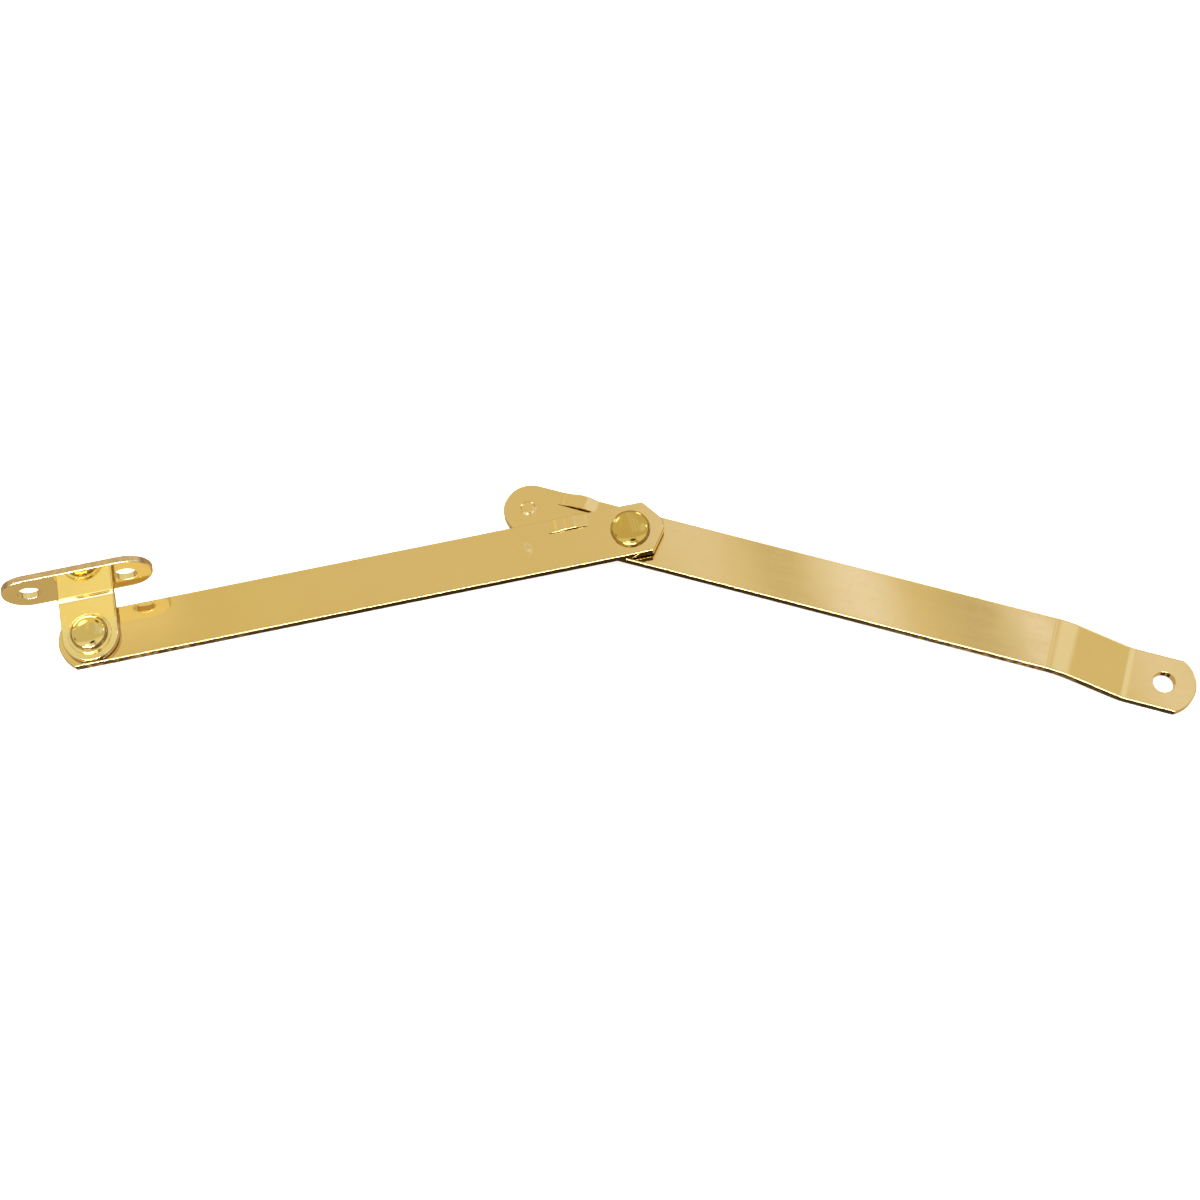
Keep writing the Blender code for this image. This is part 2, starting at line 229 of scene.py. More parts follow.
def bracket_outline(inset):
    """The T-shaped blank: x down the tab, y along the flange."""
    half = FLANGE_WIDTH / 2
    tab_half = TAB_WIDTH / 2
    ease = CORNER_ROUND
    hole = FLANGE_HOLE_PITCH / 2
    corner = half + ease
    points = arc((0.0, hole), half - inset, math.pi, 0.0, ARC_STEPS)
    points += arc((corner, tab_half + ease), ease + inset, math.pi, 1.5 * math.pi, CORNER_STEPS)
    points += arc((TAB_PIVOT_AT, 0.0), tab_half - inset, math.pi / 2, -math.pi / 2, ARC_STEPS)
    points += arc((corner, -tab_half - ease), ease + inset, math.pi / 2, math.pi, CORNER_STEPS)
    points += arc((0.0, -hole), half - inset, 0.0, -math.pi, ARC_STEPS)
    return points


def hole(centre, radius):
    """An opening's outline, as a function of how far it is set into the metal."""
    return lambda inset: circle(centre, radius + inset)


def slit(pivot_at):
    """The stop's slit, as a function of how far it is set into the metal."""
    def outline(inset):
        side = SLIT_HALF_WIDTH + inset
        far, near = pivot_at - STOP_FAR, pivot_at - STOP_NEAR
        lower = [(far + SLIT_SHOULDER, -side), (near - SLIT_SHOULDER, -side)]
        upper = [(near - SLIT_SHOULDER, side), (far + SLIT_SHOULDER, side)]
        corners = [(far - inset, 0.0)] + lower + [(near + inset, 0.0)] + upper
        return [Vector((u, SLIT_OFFSET + w)) for u, w in corners]
    return outline


# --- sheets with rolled edges -----------------------------------------------------------

def edge_rows(thickness, roll, burr):
    """Rows round a sheet's edge from its front face to its back: inset, depth, outward, facing."""
    margin = max(roll, burr) + FLAT_MARGIN
    rows = [(margin, 0.0, 0.0, 1.0)]
    for i in range(ROUND_STEPS + 1):
        turn = math.pi / 2 * i / ROUND_STEPS
        sine, cosine = math.sin(turn), math.cos(turn)
        rows.append((roll * (1 - sine), roll * (1 - cosine), sine, cosine))
    for i in range(ROUND_STEPS + 1):
        turn = math.pi / 2 * i / ROUND_STEPS
        sine, cosine = math.sin(turn), math.cos(turn)
        rows.append((burr * (1 - cosine), thickness - burr * (1 - sine), cosine, -sine))
    rows.append((margin, thickness, 0.0, -1.0))
    return rows


def flat_triangles(loops):
    """Triangles between closed loops of 2-D points, as indices into the loops laid end to end."""
    flat = bmesh.new()
    edges = []
    for loop in loops:
        corners = [flat.verts.new((p.x, p.y, 0.0)) for p in loop]
        edges += [flat.edges.new(pair) for pair in zip(corners, corners[1:] + corners[:1])]
    flat.verts.index_update()
    bmesh.ops.triangle_fill(flat, edges=edges, use_beauty=True)
    triangles = [[v.index for v in face.verts] for face in flat.faces]
    flat.free()
    return triangles


def clamp(value):
    """The nearest number from 0 to 1."""
    return min(max(value, 0.0), 1.0)


def dull_and_shaded_below(point, outward):
    """Dark on the strip's lower side and bright elsewhere: partly a dull sheared finish, partly painted
    shade, since only sides facing down the strip's -Y get it.
    """
    return clamp((-outward.y - DARK_EDGE_FACING) / DARK_EDGE_FADE)


def dull_and_shaded_short_of_middle(point, outward):
    """The same, but fading out towards the middle rivet's end, where the edge is left bright."""
    clean = clamp((point.x - ARM_REACH + SHADE_FREE_REACH) / SHADE_FREE_FADE)
    return dull_and_shaded_below(point, outward) * (1 - clean)


def dull_and_shaded_slit(point, outward):
    """Partly darkened, for the torn wall of the pressed strip: its dull torn finish and painted shade, on
    the sides facing down the strip's -Y.
    """
    return SLIT_DARKENING * dull_and_shaded_below(point, outward)


def dull_round(point, outward):
    """Dull all round."""
    return 1.0


def bright_round(point, outward):
    """Bright all round."""
    return 0.0


def plate(loops, domes, thickness):
    """A flat plate with rolled edges, at z = 0 in front and -thickness behind.

    loops holds (outline, roll, burr, dull) for the outer edge and each opening, where dull gives how dark
    each edge gets:
    a dull sheared finish, and on the arms' lower sides painted shade as well. domes holds (centre,
    radius) for the round areas to be pressed.
    """
    solid = bmesh.new()
    facing = solid.verts.layers.float_vector.new("facing")
    rim = solid.verts.layers.float.new("rim")

    def corner(point, depth, normal, on_rim):
        vert = solid.verts.new((point.x, point.y, -depth))
        vert[facing] = normal
        vert[rim] = on_rim
        return vert

    front, back, flat_loops = [], [], []
    for outline, roll, burr, dull in loops:
        rows = edge_rows(thickness, roll, burr)
        base = outline(0.0)
        inner = outline(rows[0][0])
        outward = [(a - b).normalized() for a, b in zip(base, inner)]
        rings = []
        for inset, depth, out, face in rows:
            ring = outline(inset)
            share = depth / thickness if roll >= burr else 1 - depth / thickness
            rings.append([
                corner(p, depth, Vector((o.x * out, o.y * out, face)), out and share * dull(p, o))
                for p, o in zip(ring, outward)
            ])
        for upper, lower in zip(rings, rings[1:]):
            for i in range(len(upper)):
                j = (i + 1) % len(upper)
                solid.faces.new((upper[i], lower[i], lower[j], upper[j]))
        front += rings[0]
        back += rings[-1]
        flat_loops.append(inner)
    for centre, radius in domes:
        ring = circle(centre, radius)
        flat_loops.append(ring)
        for side, depth, face in ((front, 0.0, 1.0), (back, thickness, -1.0)):
            normal = Vector((0.0, 0.0, face))
            outer = [corner(p, depth, normal, 0.0) for p in ring]
            side += outer
            for step in range(1, DOME_RINGS):
                share = 1.0 - step / DOME_RINGS
                smaller = [corner(p, depth, normal, 0.0) for p in circle(centre, radius * share)]
                for i in range(HOLE_STEPS):
                    j = (i + 1) % HOLE_STEPS
                    solid.faces.new((outer[i], outer[j], smaller[j], smaller[i]))
                outer = smaller
            tip = corner(Vector(centre), depth, normal, 0.0)
            for i in range(HOLE_STEPS):
                solid.faces.new((outer[i], outer[(i + 1) % HOLE_STEPS], tip))
    for a, b, c in flat_triangles(flat_loops):
        solid.faces.new((front[a], front[b], front[c]))
        solid.faces.new((back[c], back[b], back[a]))
    return solid


def cut_across(solid, places):
    """Edges straight across the plate at each place along x, where it will bend."""
    for place in places:
        geometry = solid.verts[:] + solid.edges[:] + solid.faces[:]
        bmesh.ops.bisect_plane(
            solid, geom=geometry, dist=MERGE_DISTANCE, plane_co=(place, 0, 0), plane_no=(1, 0, 0))


def press(name, solid, form, thickness, place):
    """Bend a plate and put it in its place.

    form(u, w) gives the middle of the sheet, its three axes and its two slopes. Each point
    keeps its place in the flat strip as the attribute strip, which the finish follows.
    """
    facing = solid.verts.layers.float_vector["facing"]
    strip = solid.verts.layers.float_vector.new("strip")
    normals = []
    for vert in solid.verts:
        u, w, z = vert.co
        middle, along, across, out, slope_u, slope_w = form(u, w)
        n = vert[facing]
        vert[strip] = vert.co
        vert.co = place @ (middle + out * (z + thickness / 2))
        normal = along * (n.x - slope_u * n.z) + across * (n.y - slope_w * n.z) + out * n.z
        normals.append((place.to_3x3() @ normal).normalized())
    bmesh.ops.recalc_face_normals(solid, faces=solid.faces[:])
    mesh = bpy.data.meshes.new(name)
    solid.to_mesh(mesh)
    solid.free()
    mesh.shade_smooth()
    mesh.normals_split_custom_set_from_vertices(normals)
    return mesh


# --- pressed and bent forms -------------------------------------------------------------

def bend_share(u, at, length):
    """Integral of a bend: 0 before it, and the distance past its middle after it."""
    along = u - (at - length / 2)
    if along <= 0:
        return 0.0
    if along < length:
        return along * along / (2 * length)
    return along - length / 2


def bend_slope(u, at, length):
    """0 before a bend, 1 after it, and even in between."""
    return clamp((u - (at - length / 2)) / length)


def stop_form(u, w, pivot_at, rise):
    """Height and slope along u of the stop's strip: a level crown between two straight ramps."""
    if w <= SLIT_OFFSET:
        return 0.0, 0.0
    reach = pivot_at - u
    start, crown_start, crown_stop, stop = [at for at, length in STOP_CREASES]
    up, down = rise / (crown_start - start), rise / (stop - crown_stop)
    heights = [bend_share(reach, at, length) for at, length in STOP_CREASES]
    slopes = [bend_slope(reach, at, length) for at, length in STOP_CREASES]
    height = up * (heights[0] - heights[1]) - down * (heights[2] - heights[3])
    slope = up * (slopes[0] - slopes[1]) - down * (slopes[2] - slopes[3])
    return height, -slope


def boss_form(u, w, centre, radius, top_radius, rise):
    """Height and both slopes of a pressed boss with a level top."""
    away = math.hypot(u - centre[0], w - centre[1])
    if away >= radius or away <= top_radius:
        return (0.0 if away >= radius else rise), 0.0, 0.0
    share = (away - top_radius) / (radius - top_radius)
    height = rise * 0.5 * (1 + math.cos(math.pi * share))
    slope = -rise * 0.5 * math.pi * math.sin(math.pi * share) / (radius - top_radius)
    return height, slope * (u - centre[0]) / away, slope * (w - centre[1]) / away


def joggle(u):
    """Depth and slope of the rear arm's middle surface at u."""
    pitch = JOGGLE_DEPTH / (SECOND_BEND_AT - FIRST_BEND_AT)
    first, second = (FIRST_BEND_AT, FIRST_BEND_LENGTH), (SECOND_BEND_AT, SECOND_BEND_LENGTH)
    down = bend_share(u, *first) - bend_share(u, *second)
    slope = bend_slope(u, *first) - bend_slope(u, *second)
    return -pitch * down, -pitch * slope


def front_arm_form(u, w):
    """Flat but for the stop and the dimple."""
    lift, slope = stop_form(u, w, ARM_REACH, FRONT_STOP_RISE)
    centre = (ARM_REACH - DETENT_REACH, 0.0)
    boss, boss_u, boss_w = boss_form(u, w, centre, DIMPLE_RADIUS, DIMPLE_TOP_RADIUS, DIMPLE_RISE)
    middle = Vector((u, w, lift + boss))
    return middle, Vector((1, 0, 0)), Vector((0, 1, 0)), Vector((0, 0, 1)), slope + boss_u, boss_w


def rear_arm_form(u, w):
    """Its own stop, the nipple on its tail, and the joggle."""
    lift, slope = stop_form(u, w, 0.0, REAR_STOP_RISE)
    centre = (-DETENT_REACH, 0.0)
    boss, boss_u, boss_w = boss_form(u, w, centre, NIPPLE_RADIUS, NIPPLE_TOP_RADIUS, NIPPLE_RISE)
    depth, pitch = joggle(u)
    out = Vector((-pitch, 0, 1)).normalized()
    along = Vector((1, 0, pitch)).normalized()
    middle = Vector((u, w, depth + lift + boss))
    return middle, along, Vector((0, 1, 0)), out, slope + boss_u, boss_w


def bracket_form(u, w):
    """Flange in the plane y = 0, a quarter turn, then the tab standing in z."""
    turn = min(max((u - BEND_START) / BEND_MIDDLE_RADIUS, 0.0), math.pi / 2)
    past = max(u - BEND_STOP, 0.0)
    flat = min(u, BEND_START)
    y = -BRACKET_THICKNESS / 2 - BEND_MIDDLE_RADIUS * (1 - math.cos(turn)) - past
    z = -flat - BEND_MIDDLE_RADIUS * math.sin(turn)
    along = Vector((0, -math.sin(turn), -math.cos(turn)))
    out = Vector((0, math.cos(turn), -math.sin(turn)))
    return Vector((w, y, z)), along, Vector((1, 0, 0)), out, 0.0, 0.0


# --- turned pieces ----------------------------------------------------------------------

def turned(name, profile, place, base_shade):
    """A smooth solid of revolution about z from (radius, height) points, with painted shade darkening it
    towards its base.
    """
    solid = bmesh.new()
    points = [solid.verts.new((radius, 0.0, height)) for radius, height in profile]
    edges = [solid.edges.new(pair) for pair in zip(points, points[1:])]
    bmesh.ops.spin(solid, geom=points + edges, cent=(0, 0, 0), axis=(0, 0, 1), angle=2 * math.pi,
                   steps=TURNED_STEPS, use_merge=True)
    bmesh.ops.remove_doubles(solid, verts=solid.verts[:], dist=MERGE_DISTANCE)
    bmesh.ops.recalc_face_normals(solid, faces=solid.faces[:])
    strip = solid.verts.layers.float_vector.new("strip")
    rim = solid.verts.layers.float.new("rim")
    rise = max(height for radius, height in profile)
    for vert in solid.verts:
        vert[strip] = vert.co
        # rim carries painted shade, strongest at the base where the head or washer meets the sheet.
        vert[rim] = base_shade * (1 - max(vert.co.z, 0.0) / rise)
        vert.co = place @ vert.co
    mesh = bpy.data.meshes.new(name)
    solid.to_mesh(mesh)
    solid.free()
    mesh.shade_smooth()
    mesh.set_sharp_from_angle(angle=math.radians(SHARP_EDGE_DEG))
    return mesh


def small_round(centre, radius, start, stop):
    """Profile points of a small round, as (radius, height)."""
    points = arc(centre, radius, math.radians(start), math.radians(stop), SMALL_ROUND_STEPS)
    return [(p.x, p.y) for p in points]


def rivet_profile(head_radius, head_rise, grip, upset_rise):
    """Button head above 0, shank through the grip, and the upset end behind, slightly hollow."""
    power = 2 / HEAD_ROUNDNESS
    profile = []
    for i in range(HEAD_STEPS + 1):
        turn = math.pi / 2 * (1 - i / HEAD_STEPS)
        radius = head_radius * max(math.cos(turn), 0.0) ** power if i else 0.0
        profile.append((radius, head_rise * max(math.sin(turn), 0.0) ** power))
    profile += [(SHANK_RADIUS, 0.0), (SHANK_RADIUS, -grip), (UPSET_RADIUS, -grip)]
    back = -grip - upset_rise
    profile += small_round((UPSET_RADIUS - UPSET_EASE, back + UPSET_EASE), UPSET_EASE, 0, -90)
    profile += [(radius, back + depth) for radius, depth in UPSET_HOLLOW]
    return profile


def washer_profile(thickness):
    """A flat ring with rounded outer edges, closed on itself."""
    ease = WASHER_EASE
    profile = [(WASHER_HOLE_RADIUS, 0.0)]
    profile += small_round((WASHER_RADIUS - ease, ease), ease, -90, 0)
    profile += small_round((WASHER_RADIUS - ease, thickness - ease), ease, 0, 90)
    profile += [(WASHER_HOLE_RADIUS, thickness), (WASHER_HOLE_RADIUS, 0.0)]
    return profile


# --- shader nodes -----------------------------------------------------------------------

class Nodes:
    """Short calls that add linked nodes to a tree."""

    def __init__(self, tree):
        self.tree = tree

    def put(self, value, socket):
        """Link a value that is another node's output, and set any other."""
        if isinstance(value, bpy.types.NodeSocket):
            self.tree.links.new(value, socket)
        else:
            socket.default_value = value

    def add(self, kind, values=(), **settings):
        """A node with its settings, and with its inputs by name."""
        node = self.tree.nodes.new(kind)
        for key, value in settings.items():
            setattr(node, key, value)
        for name, value in dict(values).items():
            self.put(value, node.inputs[name])
        return node

    def math(self, operation, a, b=0.0):
        """An arithmetic node's result."""
        node = self.tree.nodes.new("ShaderNodeMath")
        node.operation = operation
        self.put(a, node.inputs[0])
        self.put(b, node.inputs[1])
        return node.outputs[0]

    def product(self, *factors):
        """All the factors multiplied."""
        whole = factors[0]
        for factor in factors[1:]:
            whole = self.math("MULTIPLY", whole, factor)
        return whole

    def noise(self, place, scale, detail, roughness=0.5):
        """A noise texture's value, about 0.5."""
        values = {"Vector": place, "Scale": scale, "Detail": detail, "Roughness": roughness}
        return self.add("ShaderNodeTexNoise", values).outputs["Fac"]

    def band(self, value, low, high, out_low=0.0, out_high=1.0):
        """A smooth step of value between low and high."""
        return self.add(
            "ShaderNodeMapRange",
            {"Value": value, "From Min": low, "From Max": high, "To Min": out_low, "To Max": out_high},
            interpolation_type="SMOOTHSTEP",
        ).outputs["Result"]

    def mix(self, factor, a, b):
        """Colour a where factor is 0, and colour b where it is 1."""
        node = self.add("ShaderNodeMix", data_type="RGBA")
        for index, value in ((0, factor), (6, a), (7, b)):
            self.put(value, node.inputs[index])
        return node.outputs[2]


# --- brass plating ----------------------------------------------------------------------

# The tints differ per piece: the bracket's paler brass is a painted brightening and the middle rivet's
# deeper brass a painted shade, set to how bright each piece's reflections looked.
BRASS, BRASS_WARM = (0.88, 0.67, 0.29, 1.0), (0.865, 0.65, 0.27, 1.0)
BRACKET_BRASS, BRACKET_WARM = (0.96, 0.82, 0.41, 1.0), (0.94, 0.79, 0.38, 1.0)
RIVET, RIVET_WARM = (0.70, 0.50, 0.125, 1.0), (0.67, 0.47, 0.11, 1.0)
PALE_RIVET, PALE_RIVET_WARM = (0.80, 0.63, 0.24, 1.0), (0.77, 0.60, 0.21, 1.0)
# Edge colours: the arms' is partly a dull sheared finish and partly painted shade on their lower sides;
# the rivets' is painted shade at the base of the heads.
ARM_EDGE = (0.13, 0.085, 0.035, 1.0)
BRACKET_EDGE = (0.62, 0.44, 0.24, 1.0)
RIVET_EDGE = (0.14, 0.085, 0.03, 1.0)
FLAT_ROUGHNESS, HEAD_ROUGHNESS = 0.05, 0.06

# Polishing marks run along the arms and across the tab. Scales are per metre.
STRIP_STREAKS = (14.0, 420.0, 420.0)
TAB_STREAKS = (420.0, 14.0, 14.0)
HEAD_STREAKS = (260.0, 260.0, 40.0)
CAST_SCALE, SPECK_SCALE, WAVE_SCALE, UNEVEN_SCALE = 55.0, 900.0, 85.0, 650.0

# What the marks, the specks and the darkened edges do to the plating; the edge darkening is partly a dull
# sheared finish and partly painted shade.
CAST_SPAN, SPECK_SPAN = (0.3, 0.7), (0.66, 0.8)
DARKENING_SPAN, UNEVEN_SPAN = (0.08, 0.16), (0.40, 0.56)
LEAST_DARKENING, BRACKET_LEAST_DARKENING = 0.30, 0.75
SPECK_TINT, SPECK_AMOUNT = (0.80, 0.72, 0.60, 1.0), 0.18
MARK_ROUGHNESS, DARKENING_ROUGHNESS = 0.03, 0.2
WAVE_HEIGHT, STREAK_SHARE = 0.010 * MM, 0.03
COAT_WEIGHT, COAT_ROUGHNESS = 0.15, 0.05


def plating(name, colour, warm, edge, roughness, streak_scale, least_darkening=LEAST_DARKENING):
    """Polished brass plating with polishing marks, a soft cast, and darkened edges: a dull sheared
    finish, plus painted shade on the arms' lower sides and at the rivet heads' and washer's bases.
    """
    material = bpy.data.materials.new(name)
    material.use_nodes = True
    n = Nodes(material.node_tree)
    shader = material.node_tree.nodes["Principled BSDF"]
    place = n.add("ShaderNodeAttribute", attribute_name="strip").outputs["Vector"]
    rim = n.add("ShaderNodeAttribute", attribute_name="rim").outputs["Fac"]
    streaks_at = n.add("ShaderNodeMapping", {"Vector": place, "Scale": streak_scale}).outputs[0]
    streaks = n.noise(streaks_at, 1.0, 4.0, 0.6)
    cast = n.noise(place, CAST_SCALE, 3.0, 0.55)
    specks = n.noise(place, SPECK_SCALE, 2.0)
    wave = n.noise(place, WAVE_SCALE, 1.0)
    uneven = n.band(n.noise(place, UNEVEN_SCALE, 2.0), *UNEVEN_SPAN, least_darkening, 1.0)
    # Painted shade: this mask darkens the arms' lower edges and the bases of the rivet heads and washer,
    # along with the real dull sheared edges.
    dark_edge_and_shade = n.product(n.band(rim, *DARKENING_SPAN), uneven)

    speck_colour = tuple(c * tint for c, tint in zip(colour, SPECK_TINT))
    base = n.mix(n.band(cast, *CAST_SPAN), colour, warm)
    base = n.mix(n.band(specks, *SPECK_SPAN, 0.0, SPECK_AMOUNT), base, speck_colour)
    n.put(n.mix(dark_edge_and_shade, base, edge), shader.inputs["Base Color"])

    marks = n.band(streaks, 0.3, 0.75, 0.0, MARK_ROUGHNESS)
    dots = n.band(specks, 0.5, 0.8, 0.0, MARK_ROUGHNESS)
    clean = n.math("ADD", n.math("ADD", marks, dots), roughness)
    rough = n.math("ADD", clean, n.math("MULTIPLY", dark_edge_and_shade, DARKENING_ROUGHNESS))
    n.put(rough, shader.inputs["Roughness"])

    height = n.math("ADD", wave, n.math("MULTIPLY", streaks, STREAK_SHARE))
    bump = n.add("ShaderNodeBump", {"Strength": 1.0, "Distance": WAVE_HEIGHT, "Height": height})
    n.put(bump.outputs["Normal"], shader.inputs["Normal"])
    shader.inputs["Metallic"].default_value = 1.0
    shader.inputs["Coat Weight"].default_value = COAT_WEIGHT
    shader.inputs["Coat Roughness"].default_value = COAT_ROUGHNESS
    return material


# --- pieces -----------------------------------------------------------------------------

def at(x, y, z, turn=0.0):
    """The placement of a piece built in its own frame."""
    return Matrix.Translation((x, y, z)) @ Matrix.Rotation(turn, 4, "Z")


def piece(mesh, node, body, material):
    """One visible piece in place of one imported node."""
    made = bpy.data.objects.new(mesh.name, mesh)
    bpy.context.scene.collection.objects.link(made)
    mesh.materials.append(material)
    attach(made, body)
    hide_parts(node)
    return made


def cuts_over(middle, length, steps):
    """Evenly spaced places over a length about its middle, with both ends."""
    return [middle + length * (i / steps - 0.5) for i in range(steps + 1)]


def stop_cuts(pivot_at):
    """Where an arm is cut across for the stop's sloped ends."""
    cuts = []
    for reach, length in STOP_CREASES:
        cuts += cuts_over(pivot_at - reach, length, CREASE_STEPS)
    return sorted(cuts)


def build_front_arm(material):
    """The strip between the two rivets, with its stop and its dimple."""
    dimple = (ARM_REACH - DETENT_REACH, 0.0)
    # The outer edge darkens on its lower side: a dull sheared finish with painted shade.
    loops = [(front_arm_outline, ARM_ROLL, ARM_BURR, dull_and_shaded_short_of_middle)]
    for rivet_at in (0.0, ARM_REACH):
        loops.append((hole((rivet_at, 0.0), RIVET_HOLE_RADIUS), ARM_BURR, ARM_BURR, bright_round))
    loops.append((slit(ARM_REACH), SLIT_ROLL, SLIT_ROLL, dull_and_shaded_slit))
    solid = plate(loops, [(dimple, DIMPLE_RADIUS)], ARM_THICKNESS)
    cut_across(solid, stop_cuts(ARM_REACH))
    place = at(bracket_pivot.x, bracket_pivot.y, FRONT_ARM_BACK + ARM_THICKNESS / 2)
    mesh = press("front_arm_strip", solid, front_arm_form, ARM_THICKNESS, place)
    return piece(mesh, "front_arm", "front_arm", material)


def build_rear_arm(material):
    """The strip from its nippled tail, past the middle rivet, down to the screw pad."""
    # The outer edge darkens on its lower side: a dull sheared finish with painted shade.
    loops = [(rear_arm_outline, ARM_ROLL, ARM_BURR, dull_and_shaded_below)]
    loops.append((hole((0.0, 0.0), RIVET_HOLE_RADIUS), ARM_BURR, ARM_BURR, bright_round))
    loops.append((hole((ARM_REACH, 0.0), SCREW_HOLE_RADIUS), HOLE_ROLL, ARM_BURR, bright_round))
    loops.append((slit(0.0), SLIT_ROLL, SLIT_ROLL, dull_and_shaded_slit))
    solid = plate(loops, [((-DETENT_REACH, 0.0), NIPPLE_RADIUS)], ARM_THICKNESS)
    first = cuts_over(FIRST_BEND_AT, FIRST_BEND_LENGTH, BEND_STEPS)
    second = cuts_over(SECOND_BEND_AT, SECOND_BEND_LENGTH, BEND_STEPS)
    cut_across(solid, stop_cuts(0.0) + first + second)
    place = at(middle_pivot.x, middle_pivot.y, REAR_ARM_BACK + ARM_THICKNESS / 2, -FOLD)
    mesh = press("rear_arm_strip", solid, rear_arm_form, ARM_THICKNESS, place)
    return piece(mesh, "rear_arm", "rear_arm", material)


def build_bracket(material):
    """The T-shaped plate, bent between its flange and its tab."""
    loops = [(bracket_outline, BRACKET_BURR, BRACKET_ROLL, dull_round)]
    for screw_at in (FLANGE_HOLE_PITCH / 2, -FLANGE_HOLE_PITCH / 2):
        loops.append((hole((0.0, screw_at), SCREW_HOLE_RADIUS), BRACKET_BURR, HOLE_ROLL, bright_round))
    loops.append((hole((TAB_PIVOT_AT, 0.0), RIVET_HOLE_RADIUS), BRACKET_BURR, BRACKET_BURR, bright_round))
    solid = plate(loops, [], BRACKET_THICKNESS)
    cut_across(solid, cuts_over((BEND_START + BEND_STOP) / 2, BEND_STOP - BEND_START, BEND_STEPS))
    mesh = press("bracket_plate", solid, bracket_form, BRACKET_THICKNESS, Matrix.Identity(4))
    return piece(mesh, "bracket", "bracket", material)


def build_washer(material):
    """The washer, on the tab under the bracket rivet's head."""
    tab_front = TAB_BACK + BRACKET_THICKNESS
    profile = washer_profile(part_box("bracket_washer")[1].z - tab_front)
    mesh = turned("washer_ring", profile, at(bracket_pivot.x, bracket_pivot.y, tab_front), WASHER_BASE_SHADE)
    return piece(mesh, "bracket_washer", "bracket", material)


def build_rivet(name, node, body, pivot, head_radius, seat, last_back, material):
    """A rivet with its head on the height seat, and its end upset on the back of the last sheet."""
    low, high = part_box(node)
    profile = rivet_profile(head_radius, high.z - seat, seat - last_back, last_back - low.z)
    mesh = turned(name, profile, at(pivot.x, pivot.y, seat), RIVET_BASE_SHADE)
    return piece(mesh, node, body, material)


def build_pieces():
    """All six pieces, in their platings."""
    arm = plating("arm_plating", BRASS, BRASS_WARM, ARM_EDGE, FLAT_ROUGHNESS, STRIP_STREAKS)
    bracket = plating(
        "bracket_plating", BRACKET_BRASS, BRACKET_WARM, BRACKET_EDGE, FLAT_ROUGHNESS, TAB_STREAKS,
        BRACKET_LEAST_DARKENING)
    rivet = plating("rivet_plating", RIVET, RIVET_WARM, RIVET_EDGE, HEAD_ROUGHNESS, HEAD_STREAKS)
    pale_rivet = plating(
        "pale_rivet_plating", PALE_RIVET, PALE_RIVET_WARM, RIVET_EDGE, HEAD_ROUGHNESS, HEAD_STREAKS)
    build_bracket(bracket)
    build_front_arm(arm)
    build_rear_arm(arm)
    build_washer(bracket)
    washer_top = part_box("bracket_washer")[1].z
    build_rivet(
        "bracket_button_rivet", "bracket_rivet", "bracket", bracket_pivot,
        BRACKET_HEAD_RADIUS, washer_top, FRONT_ARM_BACK, pale_rivet)
    build_rivet(
        "middle_button_rivet", "mid_rivet", "front_arm", middle_pivot,
        MIDDLE_HEAD_RADIUS, FRONT_ARM_BACK + ARM_THICKNESS, REAR_ARM_BACK, rivet)


# --- studio -----------------------------------------------------------------------------

FLOOR_SIZE, FLOOR_GAP = 4.0, 0.2 * MM
FLOOR_PALE, FLOOR_WHITE = (0.90, 0.90, 0.90, 1.0), (0.93, 0.93, 0.93, 1.0)
FLOOR_GRAIN_SCALE = 600.0
FLOOR_ROUGHNESS, FLOOR_SPECULAR = 0.9, 0.1


def build_floor():
    """A plain pale sheet just under the stay, which the metal doesn't mirror."""
    low, high = cad_box
    centre = ((low.x + high.x) / 2, 0.0, low.z - FLOOR_GAP)
    bpy.ops.mesh.primitive_plane_add(size=FLOOR_SIZE, location=centre)
    floor = bpy.context.object
    floor.name = "floor"
    material = bpy.data.materials.new("floor_paper")
    material.use_nodes = True
    n = Nodes(material.node_tree)
    shader = material.node_tree.nodes["Principled BSDF"]
    place = n.add("ShaderNodeTexCoord").outputs["Object"]
    grain = n.noise(place, FLOOR_GRAIN_SCALE, 3.0)
    n.put(n.mix(grain, FLOOR_PALE, FLOOR_WHITE), shader.inputs["Base Color"])
    shader.inputs["Roughness"].default_value = FLOOR_ROUGHNESS
    shader.inputs["Specular IOR Level"].default_value = FLOOR_SPECULAR
    floor.data.materials.append(material)
    floor.visible_glossy = False


# The neutral room, which lights the floor, and the shades of the paper tent, which only the
# metal sees.
ROOM = (3.0, 3.0, 3.0, 1.0)
OVERHEAD = (0.747, 0.680, 0.505, 1.0)
BRIGHT_FOLD = (0.95, 0.98, 1.28, 1.0)
DARK_FOLD = (0.60, 0.55, 0.46, 1.0)
WARM_FOLD = (0.735, 0.665, 0.425, 1.0)
LEFT_PANEL = (0.86, 0.78, 0.53, 1.0)
FRONT_TOP = (0.96, 0.96, 0.96, 1.0)
SIDE_CARD = (0.88, 0.89, 0.95, 1.0)
LOWER = (0.55, 0.42, 0.25, 1.0)
HORIZON = (0.20, 0.14, 0.08, 1.0)
BACK_HORIZON = (0.50, 0.42, 0.28, 1.0)
SOFTBOX = (34.0, 34.0, 34.0, 1.0)
WINDOW = (3.0, 3.0, 3.0, 1.0)
BRIGHT_WINDOW = (5.0, 5.0, 5.0, 1.0)
COOL_WINDOW = (2.2, 2.2, 2.8, 1.0)
COOL_SPOT = (4.0, 4.0, 6.0, 1.0)
FRONT_WINDOW = (3.0, 3.0, 4.5, 1.0)
LENS = (0.05, 0.035, 0.02, 1.0)
FLAG = (0.22, 0.16, 0.09, 1.0)

